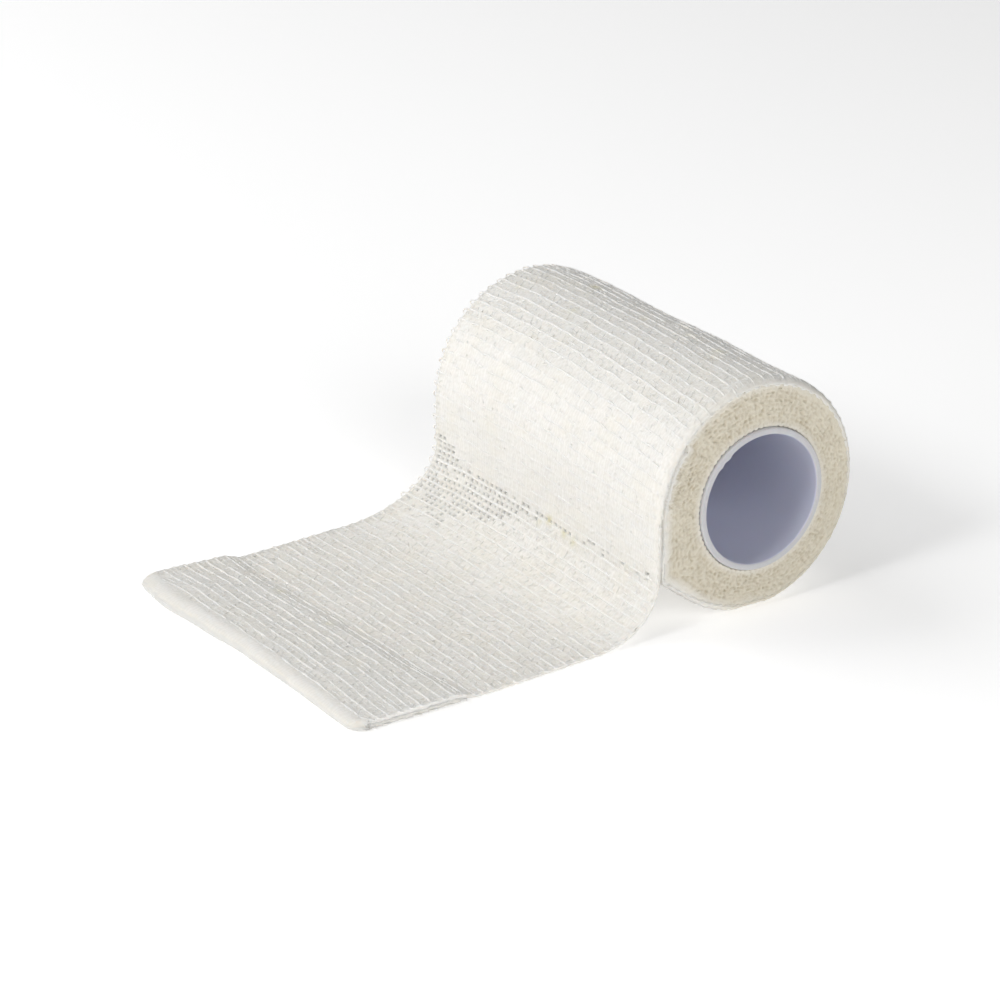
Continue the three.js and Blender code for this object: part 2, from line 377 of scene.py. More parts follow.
# side, how far a weft is bent towards the loose end, on the roll and on the loose end
BOW = [
    (-1.0, 3.4 * mm, 1.2 * mm),
    (-0.75, 2.4 * mm, 0.9 * mm),
    (-0.3, 1.1 * mm, 0.4 * mm),
    (0.2, 0.0 * mm, 0.0 * mm),
    (0.7, 0.0 * mm, 0.0 * mm),
    (1.0, 0.4 * mm, 0.6 * mm),
]


def pulled(down):
    """1 where the cloth is pulled off the roll, 0 where the weave is slack."""
    past = down - PEEL_DOWN
    return smooth((past + PULLED_BEFORE) / (4 * mm)) * smooth((PULLED_AFTER - past) / (8 * mm))


def weft_down(number, across):
    """How far down the cloth a weft runs at a place across. A number may lie between two wefts."""
    number, across = np.broadcast_arrays(number, across)
    side = np.clip(2 * across / STRIP_WIDTH - 1, -1, 1)
    plain = DOWN_START + (number + 0.5) * WEFT_PITCH
    on_roll = np.interp(side, [row[0] for row in BOW], [row[1] for row in BOW])
    on_tail = np.interp(side, [row[0] for row in BOW], [row[2] for row in BOW])
    tail_share = smooth((plain - 15 * mm) / (50 * mm))
    bow = on_roll + (on_tail - on_roll) * tail_share
    bow = bow * smooth((DOWN_END - plain) / (22 * mm)) * smooth((plain - DOWN_START) / (12 * mm))
    counts = np.arange(WEFT_COUNT + 1)
    fast = np.sin(2 * math.pi * across / SWAY_LENGTH + np.interp(number, counts, sway_phase))
    slow = np.sin(2 * math.pi * across / SLOW_SWAY_LENGTH + np.interp(number, counts, slow_phase))
    slack = 1 - 0.75 * pulled(plain)
    edge = smooth((DOWN_END - plain) / (3 * mm))
    uneven = np.interp(number, counts, uneven_pitch)
    return plain + bow + (SWAY * fast + SLOW_SWAY * slow + uneven) * slack * edge


print(WEFT_COUNT, "wefts,", WARP_COUNT, "warps,", round(WARP_PITCH / mm, 2), "mm apart")

# %% [markdown]
# ## Where the cloth is slack, tight or pressed
# The weave doesn't stand up alike everywhere. It is stretched flat over the fold, rubbed down at the
# near shoulder and drawn tight on the left side of the roll. The back of the cloth is closed with the
# turn below it, and at the selvages no gap shows between them.

# %% Relief and back of the cloth
CLOTH_BACK = -0.42 * mm
PRESSED_SWELL = 0.21 * mm
FOLD_THINNER = 0.2 * mm
CUT_THINNER = 0.5 * mm
CUT_TAPER = 2.4 * mm
FELTED_DEPTH = 0.26 * mm
TIGHT_FROM = 12 * mm
TIGHT_TO = 50 * mm


def past_fold(across, down):
    """How far beyond the fold a place is, towards the cut end."""
    return down - np.interp(across, map_across, fold_down)


def near_shoulder(across, down, width):
    """1 at the near end of the roll, fading out over a width inwards and towards the loose end."""
    return (1 - smooth(across / width)) * (1 - smooth((down - 38 * mm) / (8 * mm)))


def relief(across, down):
    """How strongly the weave stands up: little over the fold, the near shoulder and the tight left side."""
    past = past_fold(across, down)
    band = 3.2 * mm + 1.6 * mm * across / STRIP_WIDTH
    over_fold = smooth((past + band) / (2.0 * mm)) * smooth((3.5 * mm - past) / (2.0 * mm))
    tight = smooth((down - TIGHT_FROM) / (10 * mm)) * smooth((TIGHT_TO - down) / (6 * mm))
    return (1 - 0.96 * over_fold) * (1 - 0.5 * near_shoulder(across, down, 2.6 * mm)) * (1 - 0.35 * tight)


def felted_in(across, down):
    """How far the near selvage of the outermost turn is pressed in, flush with the end face."""
    return FELTED_DEPTH * near_shoulder(across, down, 1.3 * mm)


def back_of_cloth(across, down):
    """The lift of the cloth's back, lower where the cloth is pressed on what lies under it."""
    past = past_fold(across, down)
    on_roll = 1 - smooth((down - 45 * mm) / (5 * mm))
    on_itself = smooth((past + 17 * mm) / (4 * mm)) * smooth((np.abs(past) - 2.5 * mm) / (2 * mm))
    in_bend = 1 - smooth((np.abs(past) - 1 * mm) / (1.5 * mm))
    selvage = 1 - smooth(across / (1.5 * mm))
    closed = 1.3 * selvage * smooth((past + 26 * mm) / (3 * mm))
    hanging = 2.4 * selvage * smooth((down - 30 * mm) / (6 * mm)) * on_roll
    swell = np.maximum(np.maximum(on_roll, on_itself), np.maximum(closed, hanging))
    cut_end = smooth((down - CUT_END + CUT_TAPER) / CUT_TAPER)
    thinner = FOLD_THINNER * in_bend * (1 - selvage) + CUT_THINNER * cut_end
    return CLOTH_BACK - PRESSED_SWELL * swell + thinner


def fold_underside_shade(across, down):
    """1 on the underside of the fold, where a grey shade is painted."""
    above = 1.4 * mm + 0.6 * mm * across / STRIP_WIDTH
    return smooth((past_fold(across, down) + above) / (1.6 * mm))


lying = back_of_cloth(STRIP_WIDTH / 2, np.array([0.0, 80 * mm]))
print("the back is", (-lying / mm).round(2), "mm under the middle, on the roll and on the table")

# %% [markdown]
# ## Stains
# Latex yellows where it dries in a thick drop. There are a few such drops, most of them where the cloth
# leaves the roll and along its top. At the near end many layers of latex lie side by side, and the outermost
# turn takes a little of that cream too, most of it low on the right side.

# %% Latex spots and the creamy shoulder
# side, distance down the cloth, radius and strength of each spot where the latex has dried yellow
LATEX_SPOTS = [
    (-0.07, 47.6 * mm, 0.9 * mm, 0.9),
    (-0.21, 48.6 * mm, 0.8 * mm, 0.7),
    (-0.29, 49.2 * mm, 0.8 * mm, 0.6),
    (0.01, 49.0 * mm, 0.7 * mm, 0.4),
    (0.56, -4.1 * mm, 1.1 * mm, 0.7),
    (-0.55, -3.6 * mm, 1.0 * mm, 0.45),
    (0.02, -1.4 * mm, 0.9 * mm, 0.4),
    (-0.28, -4.1 * mm, 0.8 * mm, 0.35),
    (0.37, 6.0 * mm, 0.9 * mm, 0.4),
    (0.83, 7.0 * mm, 0.8 * mm, 0.3),
    (0.70, -23.5 * mm, 1.0 * mm, 0.5),
    (0.49, 100.6 * mm, 1.1 * mm, 0.45),
    (0.00, 101.6 * mm, 1.0 * mm, 0.35),
]


def latex_at(across, down):
    """0 for clean cloth, up to 1 in the middle of a latex spot."""
    share = np.zeros(np.shape(across))
    for side, spot_down, radius, strength in LATEX_SPOTS:
        spot_across = (side + 1) * STRIP_WIDTH / 2
        apart = np.hypot(across - spot_across, down - spot_down) / radius
        share = np.maximum(share, strength * np.exp(-apart ** 2))
    return share


def stains_at(metres):
    """The two colour changes of the cloth at rows of distances: latex spots and the creamy shoulder."""
    across, down = metres.reshape(-1, 2).T
    over_the_top = smooth((down + 50 * mm) / (30 * mm))
    hidden_start = smooth((-70 * mm - down) / (15 * mm))
    cream = 0.9 - 0.75 * np.maximum(over_the_top, hidden_start)
    return {"latex": latex_at(across, down), "selvage": cream * near_shoulder(across, down, 2.2 * mm)}


print(len(LATEX_SPOTS), "latex spots")

# %% [markdown]
# ## Turning numbers into meshes
# Every piece is made the same way: a block of points, a list of four-cornered faces, values for the
# finish such as depth, which is 0 on the crests and 1 in the pits and sets how much painted shade the
# finish puts there, and a UV map that holds real distances so that patterns keep their size. A thread
# is a closed tube with flat ends.


# %% Mesh and tube makers
def make_piece(name, points, quads, metres, **values):
    """A smooth mesh object. metres holds a pair of distances for each point, used as its UV."""
    mesh = bpy.data.meshes.new(name)
    mesh.from_pydata(points.reshape(-1, 3), [], quads.reshape(-1, 4).tolist())
    mesh.validate()
    for key, numbers in values.items():
        attribute = mesh.attributes.new(key, "FLOAT", "POINT")
        attribute.data.foreach_set("value", numbers.ravel().astype(np.float32))
    corner_points = np.zeros(len(mesh.loops), np.int32)
    mesh.loops.foreach_get("vertex_index", corner_points)
    layer = mesh.uv_layers.new(name="cloth_metres")
    layer.data.foreach_set("uv", metres.reshape(-1, 2)[corner_points].astype(np.float32).ravel())
    mesh.polygons.foreach_set("use_smooth", np.ones(len(mesh.polygons), bool))
    mesh.update()
    piece = bpy.data.objects.new(name, mesh)
    bpy.context.scene.collection.objects.link(piece)
    triangles = sum(len(face.vertices) - 2 for face in mesh.polygons)
    print(name, "has", triangles, "triangles")
    return piece


def tubes(lines, outward, half_width, half_height, corners=6):
    """Closed tubes round lines of points, given as (threads, points, 3), with half sizes at each point."""
    threads, count, _ = lines.shape
    ahead = np.gradient(lines, axis=1)
    ahead /= np.linalg.norm(ahead, axis=2, keepdims=True)
    up = outward - ahead * (outward * ahead).sum(axis=2, keepdims=True)
    up /= np.linalg.norm(up, axis=2, keepdims=True)
    across = np.cross(ahead, up)
    angle = np.arange(corners) * 2 * math.pi / corners
    ring = (
        across[:, :, None] * (np.cos(angle)[None, None, :, None] * half_width[:, :, None, None])
        + up[:, :, None] * (np.sin(angle)[None, None, :, None] * half_height[:, :, None, None])
    )
    points = lines[:, :, None] + ring
    number = np.arange(threads * count * corners).reshape(threads, count, corners)
    turned = np.roll(number, -1, axis=2)
    sides = np.stack([number[:, :-1], turned[:, :-1], turned[:, 1:], number[:, 1:]], axis=-1).reshape(-1, 4)
    half = corners // 2
    caps = []
    for first in range(half - 1):
        order = [first, first + 1, corners - 2 - first, corners - 1 - first]
        caps.append(number[:, 0, order[::-1]])
        caps.append(number[:, -1, order])
    return points, np.concatenate([sides] + caps)


# %% [markdown]
# ## The ground of the cloth
# Between the threads lies a felt of loose fibres held by the latex. It is a closed skin, 0.6 to 0.8 mm
# thick, with a row of points along each weft and each gap between wefts, and a column along each warp
# and each gap between warps. It rises under the ribs and dips where two gaps cross. Where the cloth is
# pulled, the tension opens some of those dips into real holes.

# %% The grid of the ground
GROUND_RIB = 0.30 * mm
GROUND_SUNK = 0.21 * mm
GROUND_GAP = 0.17 * mm
GROUND_PIT = -0.02 * mm
GROUND_SMOOTH = 0.38 * mm
GROUND_NOISE = 0.055 * mm
PIT_TONE = 0.75


def hole_chance(across, down):
    """How likely a dip is to be a hole: where the cloth leaves the roll, and widest at the far side."""
    side = 2 * across / STRIP_WIDTH - 1
    past = down - PEEL_DOWN
    wide = 1.6 * mm + 14 * mm * smooth((side + 0.05) / 0.75)
    above = 0.9 * mm + 5.0 * mm * smooth((side - 0.7) / 0.25)
    most = (0.6 + 0.35 * smooth((side + 0.2) / 0.4)) * (side > -0.92)
    return smooth((past + above) / (1.2 * mm)) * smooth((wide - past) / (0.6 * wide)) * most


def ground_grid():
    rows = np.arange(0, WEFT_COUNT - 0.5, 0.5)
    edge = np.array([0.0, 0.08, 0.3]) * mm
    inner = np.arange(1, 2 * WARP_COUNT) * WARP_PITCH / 2
    columns = np.concatenate([edge, inner, STRIP_WIDTH - edge[::-1]])
    number, across = np.meshgrid(rows, columns, indexing="ij")
    down = weft_down(number, across)
    kind = (np.arange(len(rows)) % 4)[:, None]
    between = np.zeros(len(columns), bool)[None, :]
    between[0, len(edge) + 1:-len(edge) - 1:2] = True
    gap_row = kind % 2 == 1
    lift = np.where(kind == 0, GROUND_RIB, np.where(kind == 2, GROUND_SUNK, GROUND_GAP))
    lift = lift + 0.03 * mm * ~between
    pit = gap_row & between
    pit_depth = (GROUND_GAP - GROUND_PIT) * chance.uniform(0.3, 1.2, lift.shape)
    lift = np.where(pit, GROUND_GAP - pit_depth, lift)
    lift = lift + chance.normal(0, GROUND_NOISE, lift.shape)
    across[:, [0, -1]] += chance.normal(0, 0.04 * mm, (len(rows), 2))
    lift = GROUND_SMOOTH + (lift - GROUND_SMOOTH) * relief(across, down)
    well_inside = np.zeros_like(pit)
    well_inside[3:-3, len(edge) + 1:-len(edge) - 1] = True
    open_here = chance.uniform(0, 1, pit.shape) < hole_chance(across, down)
    # Painted shade: the lower a point of the ground lies, the more it is painted towards the pit shade.
    pits = PIT_TONE * (GROUND_SMOOTH - lift) / (GROUND_SMOOTH - GROUND_PIT)
    # Painted shade along the far selvage: a light grey band, with darker grey dots in the gap rows.
    far_edge_shade = smooth((across - STRIP_WIDTH + 1.4 * mm) / (0.8 * mm)) * (0.15 + 0.6 * gap_row)
    # The underside of the fold is painted with grey shade as well.
    depth = np.maximum(pits + far_edge_shade, fold_underside_shade(across, down))
    return across, down, lift, depth, pit & well_inside & open_here


grid = ground_grid()
print("the ground has", grid[0].shape[0], "rows of", grid[0].shape[1], "points")

# %% [markdown]
# A hole is an eight-sided funnel between its eight neighbours on the grid: a ring of points on the
# front, a smaller ring behind it, and a wall between the two. Each is a little larger or smaller than
# the next.

# %% Make the ground
HOLE_REACH = 0.5
HOLE_CORNER = 0.72
HOLE_FUNNEL = 0.4
HOLE_LIP = 0.05 * mm
HOLE_DEEP = 0.22 * mm
# The back of the cloth is painted a little towards the pit shade.
BACK_TONE = 0.15
AROUND = [(-1, -1), (0, -1), (1, -1), (1, 0), (1, 1), (0, 1), (-1, 1), (-1, 0)]


def make_ground(across, down, lift, front_depth, holes):
    back = back_of_cloth(across, down)
    rows, columns = lift.shape
    size = rows * columns
    front_points, _ = on_cloth(across, down, lift - felted_in(across, down))
    back_points, _ = on_cloth(across, down, back)
    points = [front_points.reshape(-1, 3), back_points.reshape(-1, 3)]
    spots = np.stack([across, down], axis=-1).reshape(-1, 2)
    metres = [spots, spots]
    depth = [front_depth.ravel(), np.full(size, BACK_TONE)]
    number = np.arange(size).reshape(rows, columns)

    touched = np.zeros((rows - 1, columns - 1), bool)
    hole_rows, hole_columns = np.nonzero(holes)
    for row_step in (-1, 0):
        for column_step in (-1, 0):
            touched[hole_rows + row_step, hole_columns + column_step] = True
    quads = np.stack([number[:-1, :-1], number[1:, :-1], number[1:, 1:], number[:-1, 1:]], axis=-1)
    plain = quads[~touched]
    faces = [plain, plain[:, ::-1] + size]

    # The rings of the holes
    sides = len(AROUND)
    middle = number[hole_rows, hole_columns]
    neighbour = np.stack([number[hole_rows + r, hole_columns + c] for r, c in AROUND], axis=1)
    reach = np.array([HOLE_REACH * (HOLE_CORNER if r and c else 1.0) for r, c in AROUND])[None, :, None]
    reach = reach * chance.uniform(0.5, 1.25, (len(middle), 1, 1))
    reach = reach * chance.uniform(0.85, 1.15, (len(middle), sides, 1))
    arm = (spots[neighbour] - spots[middle][:, None]) * reach
    for lift_here, drawn_in in ((HOLE_LIP, 1.0), (HOLE_LIP - HOLE_DEEP, HOLE_FUNNEL)):
        spot = spots[middle][:, None] + arm * drawn_in
        ring_points, _ = on_cloth(spot[..., 0], spot[..., 1], np.full(spot.shape[:2], lift_here))
        points.append(ring_points.reshape(-1, 3))
        metres.append(spot.reshape(-1, 2))
        # The rings and the wall of a hole are painted in the full hole shade.
        depth.append(np.ones(middle.size * sides))
    front_ring = 2 * size + np.arange(middle.size * sides).reshape(-1, sides)
    back_ring = front_ring + middle.size * sides
    for k in range(sides):
        after = (k + 1) % sides
        edge = [neighbour[:, k], neighbour[:, after]]
        front_lip = [front_ring[:, after], front_ring[:, k]]
        back_lip = [back_ring[:, after], back_ring[:, k]]
        front = np.stack(edge + front_lip, axis=1)
        rear = np.stack([corners + size for corners in edge] + back_lip, axis=1)
        wall = np.stack(front_lip[::-1] + back_lip, axis=1)
        faces += [front, rear[:, ::-1], wall]

    rim = np.concatenate([number[:-1, 0], number[-1, :-1], number[:0:-1, -1], number[0, :0:-1]])
    after = np.roll(rim, -1)
    faces.append(np.stack([after, rim, rim + size, after + size], axis=1))
    print(len(middle), "holes where the cloth is pulled off the roll")
    metres = np.concatenate(metres)
    return make_piece(
        "gauze_ground", np.concatenate(points), np.concatenate(faces), metres,
        depth=np.clip(np.concatenate(depth), 0, 1), **stains_at(metres),
    )


gauze_ground = make_ground(*grid)

# %% [markdown]
# ## The weft threads
# A weft is one thread that the loom carries to and fro, so at each selvage it turns back in a small
# loop. The wefts are built the same way, as one long winding thread. It is cut once, where the cloth
# leaves the roll, only to keep each mesh small.

# %% Make the wefts
RIB_HALF = 0.24 * mm
SUNK_HALF = 0.14 * mm
RIB_LIFT = 0.22 * mm
SUNK_LIFT = 0.13 * mm
SMOOTH_LIFT = 0.14 * mm
LOOP_SHORT = 0.12 * mm
LOOP_LONG = 1.15 * mm
LONG_LOOPS_END = 58 * mm
WEFT_NOISE = 0.045 * mm
WEFT_EDGE = np.array([0.0, 0.1, 0.4, 1.0, 1.8, 2.7]) * mm
WEFT_INNER = np.linspace(WEFT_EDGE[-1], STRIP_WIDTH - WEFT_EDGE[-1], 76)[1:-1]
WEFT_SPOTS = np.concatenate([WEFT_EDGE, WEFT_INNER, STRIP_WIDTH - WEFT_EDGE[::-1]])
LOOP_STEPS = 5


def weft_line(numbers):
    """One thread that runs to and fro: across, weft number, and a share that is 1 at a loop's tip."""
    across, number, loop = [], [], []
    turn = np.linspace(0, math.pi, LOOP_STEPS + 2)[1:-1]
    for k in numbers:
        to_far = k % 2 == 0
        across.append(WEFT_SPOTS if to_far else WEFT_SPOTS[::-1])
        number.append(np.full(len(WEFT_SPOTS), float(k)))
        loop.append(np.zeros(len(WEFT_SPOTS)))
        if k != numbers[-1]:
            long_here = to_far and DOWN_START + k * WEFT_PITCH < LONG_LOOPS_END
            beyond = (LOOP_LONG if long_here else LOOP_SHORT) * chance.uniform(0.7, 1.3) * np.sin(turn)
            across.append(STRIP_WIDTH + beyond if to_far else -beyond)
            number.append(k + (1 - np.cos(turn)) / 2)
            loop.append(np.sin(turn))
    return np.concatenate(across), np.concatenate(number), np.concatenate(loop)


def make_wefts(name, numbers):
    across, number, loop = weft_line(numbers)
    down = weft_down(number, across)
    rib = (1 + np.cos(math.pi * number)) / 2
    height = relief(across, down)
    lift = SUNK_LIFT + (RIB_LIFT - SUNK_LIFT) * rib
    knots = np.arange(0, len(across) + 2, 2)
    lift = lift + np.interp(np.arange(len(across)), knots, chance.normal(0, WEFT_NOISE, len(knots)))
    lift = SMOOTH_LIFT + (lift - SMOOTH_LIFT) * height - felted_in(across, down)
    line, outward = on_cloth(across, down, lift - 0.1 * mm * loop)
    yarn = chance.normal(1, 0.18, len(across)).clip(0.5, 1.5)
    half = (SUNK_HALF + (RIB_HALF - SUNK_HALF) * rib) * yarn
    points, quads = tubes(line[None], outward[None], half[None], 0.78 * half[None])
    # Painted shade: the sunk wefts are painted a little darker than the ribs.
    depth = np.repeat(0.22 * (1 - rib), 6)
    metres = np.repeat(np.stack([across, down], axis=1), 6, axis=0)
    return make_piece(name, points, quads, metres, depth=depth, **stains_at(metres))


first_loose = int((PEEL_DOWN - DOWN_START) / WEFT_PITCH)
roll_wefts = make_wefts("roll_wefts", list(range(0, first_loose)))
loose_wefts = make_wefts("loose_wefts", list(range(first_loose, WEFT_COUNT)))

# %% [markdown]
# ## The warp threads
# Each warp dives under a rib and comes up over the sunk weft beyond it. Its twist pulls it over to one
# side between two ribs, which gives the fine slanting marks of crepe. Where the cloth is pulled it runs
# straight.

# %% Make the warps
WARP_HALF = 0.11 * mm
WARP_SLANT = 0.32 * mm
WARP_OVER = 0.18 * mm
WARP_UNDER = 0.12 * mm
WARP_NOISE = 0.03 * mm


def make_warps(name, first, last):
    period = np.array([0.0, 0.42, 0.8, 1.2, 1.58])
    slant = np.array([0.0, 1.0, 0.4, -0.4, -1.0])
    over = np.array([0.0, 0.45, 1.0, 1.0, 0.45])
    pairs = np.arange(first, last, 2)
    number = (pairs[:, None] + period[None, :]).ravel()
    lean = np.tile(slant, len(pairs))[None, :]
    rise = np.tile(over, len(pairs))[None, :]
    warp = (np.arange(WARP_COUNT) + 0.5)[:, None] * WARP_PITCH
    strength = np.repeat(chance.uniform(0.55, 1.2, (WARP_COUNT, len(pairs))), len(period), axis=1)
    against = np.where(chance.uniform(0, 1, (WARP_COUNT, len(pairs))) < 0.15, -1.0, 1.0)
    strength = strength * np.repeat(against, len(period), axis=1)
    plain = DOWN_START + number * WEFT_PITCH
    slack = 1 - 0.95 * pulled(plain)[None, :]
    across = warp + WARP_SLANT * lean * strength * slack
    across = across + 0.05 * mm * chance.normal(0, 1, across.shape)
    down = weft_down(np.broadcast_to(number, across.shape), across)
    lift = WARP_UNDER + (WARP_OVER - WARP_UNDER) * rise + chance.normal(0, WARP_NOISE, across.shape)
    lift = SMOOTH_LIFT + (lift - SMOOTH_LIFT) * relief(across, down) - felted_in(across, down)
    line, outward = on_cloth(across, down, lift)
    half = WARP_HALF * chance.normal(1, 0.14, across.shape)
    points, quads = tubes(line, outward, half, half, corners=4)
    # Painted shade: warps are painted darker than the wefts, most where they dip under a rib.
    depth = np.repeat(0.35 - 0.2 * np.broadcast_to(rise, across.shape).ravel(), 4)
    metres = np.repeat(np.stack([across.ravel(), down.ravel()], axis=1), 4, axis=0)
    return make_piece(name, points, quads, metres, depth=depth, **stains_at(metres))


first_rib = first_loose + first_loose % 2
roll_warps = make_warps("roll_warps", 0, first_rib)
loose_warps = make_warps("loose_warps", first_rib, WEFT_COUNT - 2)

# %% [markdown]
# ## The winding under the outermost turn
# The end of the roll shows the selvages of eleven turns, pressed together to about 0.7 mm each. Together
# they are one closed ring, which fills the space between the core and the outermost turn. Its outer wall
# is hidden.

# %% The outline of the winding
TURNS = 11
TURN_THICKNESS = 0.68 * mm
WINDING_GAP = 0.08 * mm
WINDING_SKIN = 0.2 * mm
OUTLINE_PARTS = 720
FACE_SPOKES = 560
spokes = np.arange(FACE_SPOKES) * 2 * math.pi / FACE_SPOKES


def wound_outline(side):
    """Distance from the core's middle to just inside the outermost turn, at each spoke."""
    rising, falling, _ = wound_line(side)
    line = np.concatenate([rising, falling]) - np.array([CORE_X - AXIS_X, CORE_Z])
    angle = np.arctan2(line[:, 1], line[:, 0]) % (2 * math.pi)
    radius = np.linalg.norm(line, axis=1)
    nearest = np.full(OUTLINE_PARTS, np.inf)
    part = (angle / math.pi * OUTLINE_PARTS / 2).astype(int) % OUTLINE_PARTS
    np.minimum.at(nearest, part, radius)
    known = np.isfinite(nearest)
    around = (np.arange(OUTLINE_PARTS) + 0.5) * math.pi / (OUTLINE_PARTS / 2)
    return np.interp(spokes, around[known], nearest[known], period=2 * math.pi) - WINDING_SKIN


def behind_face(inset, angle, side):
    """How far behind the end face the soft shoulder lies, at a distance in from the outermost turn."""
    rounding = np.clip(1 - inset / (NEAR_SHOULDER_INSET if side < 0 else FAR_SHOULDER_INSET), 0, 1)
    notch_angle = wound_line(side)[2]
    apart = np.abs((np.degrees(angle) - notch_angle) % 360 - 180)
    return SHOULDER_LENGTH * (1 - np.sqrt(1 - rounding ** 2)) * smooth((180 - apart) / NOTCH_FADE)


near_outline = wound_outline(-1.0)
least, most = near_outline.min() / mm, near_outline.max() / mm
print("the winding reaches", round(least, 1), "to", round(most, 1), "mm from the core's middle")

# %% [markdown]
# The end faces of the winding are felted: soft grains, with a small pit wherever two selvage loops of the
# spiral leave a gap. Next to the core the felt is smoother, and its inner rim is nicked between the loops.
# On the left, where the outermost turn has been pulled over, the rim is white instead of cream.

# %% The end faces of the winding
FACE_RINGS = 42
FACE_SUNK = 0.12 * mm
GROOVE_DEEP = 0.05 * mm
GRAIN_DEEP = 0.06 * mm
PIT_DEEP = 0.22 * mm
SOFT_NEXT_TO_CORE = 1.6 * mm
WHITE_RIM = 3.0 * mm
PIT_PITCH = WEFT_PITCH
PIT_KINDS = 97
NICK_DEEP = 0.17 * mm


def softened(values, passes):
    """Blurs a ring-shaped grid and brings it back to an even spread."""
    for _ in range(passes):
        inward = np.concatenate([values[:1], values[:-1]])
        outward = np.concatenate([values[1:], values[-1:]])
        values = values + inward + outward + np.roll(values, 1, axis=1) + np.roll(values, -1, axis=1)
    return (values - values.mean()) / values.std()


def face_pits(turn):
    """1 in the middle of each pit between two turns of the spiral, 0 elsewhere."""
    layer = np.floor(turn).astype(int)
    pits_round = np.round(2 * math.pi * (CORE_RADIUS + (layer + 0.5) * TURN_THICKNESS) / PIT_PITCH)
    phase = pits_round * spokes[None, :] / (2 * math.pi) + chance.uniform(0, 1, TURNS + 2)[layer]
    which = np.floor(phase).astype(int) % PIT_KINDS
    kinds = (TURNS + 2, PIT_KINDS)
    strength = chance.uniform(0, 1, kinds)[layer, which] ** 1.6
    middle = chance.uniform(0.35, 0.65, kinds)[layer, which]
    drawn = chance.uniform(0.3, 0.7, kinds)[layer, which]
    along = np.abs(phase % 1 - middle) / 0.30
    out = np.abs(turn % 1 - drawn) / 0.36
    return strength * np.exp(-(along ** 2 + out ** 2) * 1.4)


def winding_face(side):
    """Rings of points for one end of the winding, from the core outwards, with their depth."""
    inner = CORE_RADIUS + WINDING_GAP
    outer = wound_outline(side)
    share = np.linspace(0, 1, FACE_RINGS)[:, None]
    radius = inner + (outer - inner)[None, :] * share
    turn = share * TURNS + spokes[None, :] / (2 * math.pi)
    inset = outer[None, :] - radius
    groove = 0.5 - 0.5 * np.cos(2 * math.pi * (turn + 0.5))
    grain = softened(chance.normal(0, 1, radius.shape), 1)
    fleece = smooth((radius - inner) / SOFT_NEXT_TO_CORE) * (0.25 + 0.75 * smooth(inset / (2.8 * mm)))
    sunk = FACE_SUNK * smooth(inset / (2.2 * mm)) + fleece * PIT_DEEP * face_pits(turn)
    sunk = sunk + fleece * GROOVE_DEEP * (1 - groove) + GRAIN_DEEP * grain * (0.5 + 0.5 * fleece)
    nicks = 0.5 + 0.5 * np.cos(spokes * round(2 * math.pi * inner / PIT_PITCH))
    nicks = nicks ** 2 * np.interp(spokes, spokes[::7], chance.uniform(0.1, 1.0, len(spokes[::7])))
    radius[0] += NICK_DEEP * nicks
    radius[1] += 0.12 * mm * nicks
    sunk[0] += 0.25 * mm * nicks
    y = side * (STRIP_WIDTH / 2 - sunk - behind_face(inset, spokes[None, :], side))
    x = CORE_X + radius * np.cos(spokes)[None, :]
    z = CORE_Z + radius * np.sin(spokes)[None, :]
    metres = np.stack([radius, radius * spokes[None, :]], axis=-1)
    # Painted shade: sunk places of the face, and the nicks next to the core, are painted darker.
    depth = np.clip((sunk - 0.1 * mm) / (0.36 * mm), 0, PIT_TONE)
    depth[0] = 0.3 + 0.5 * nicks
    depth[1] += 0.3 * nicks
    pulled_over = 0.8 * smooth(0.5 + 0.6 * np.cos(spokes - math.radians(170)))[None, :]
    selvage = 0.6 + 0.4 * smooth((radius - inner) / SOFT_NEXT_TO_CORE)
    selvage = selvage * (1 - pulled_over * (1 - smooth(inset / WHITE_RIM)))
    return np.stack([x, y, z], axis=-1), metres, depth, selvage


near_face = winding_face(-1.0)
far_face = winding_face(1.0)
print("each end face has", near_face[0].shape[0], "rings of", near_face[0].shape[1], "points")


# %% Join the two faces into the winding
def make_winding(near, far):
    points, metres, depth, selvage = [np.stack(pair) for pair in zip(near, far)]
    size = FACE_RINGS * FACE_SPOKES
    number = np.arange(size).reshape(FACE_RINGS, FACE_SPOKES)
    turned = np.roll(number, -1, axis=1)
    face = np.stack([number[:-1], number[1:], turned[1:], turned[:-1]], axis=-1).reshape(-1, 4)
    outside = np.stack([number[-1], number[-1] + size, turned[-1] + size, turned[-1]], axis=-1)
    inside = np.stack([number[0], turned[0], turned[0] + size, number[0] + size], axis=-1)
    quads = np.concatenate([face, face[:, ::-1] + size, outside, inside])
    return make_piece("winding", points, quads, metres, depth=depth, selvage=selvage)


winding = make_winding(near_face, far_face)

# %% [markdown]
# ## The selvage loops of the winding
# On each end face the weft of every turn comes up as a small loop and dips back into the felt. One
# thread follows the spiral outwards and does that once for each weft, so only the tips of its loops
# show.

# %% Make the selvage loops
LOOP_HALF = 0.12 * mm
LOOP_STEP = 0.29 * mm
LOOP_OUT = 0.13 * mm
LOOP_SUNK = 0.29 * mm
LOOP_SWAY = 0.15 * mm
FIRST_LOOP, LAST_LOOP = 0.06, 0.93
SPIRAL_STEPS = 8000


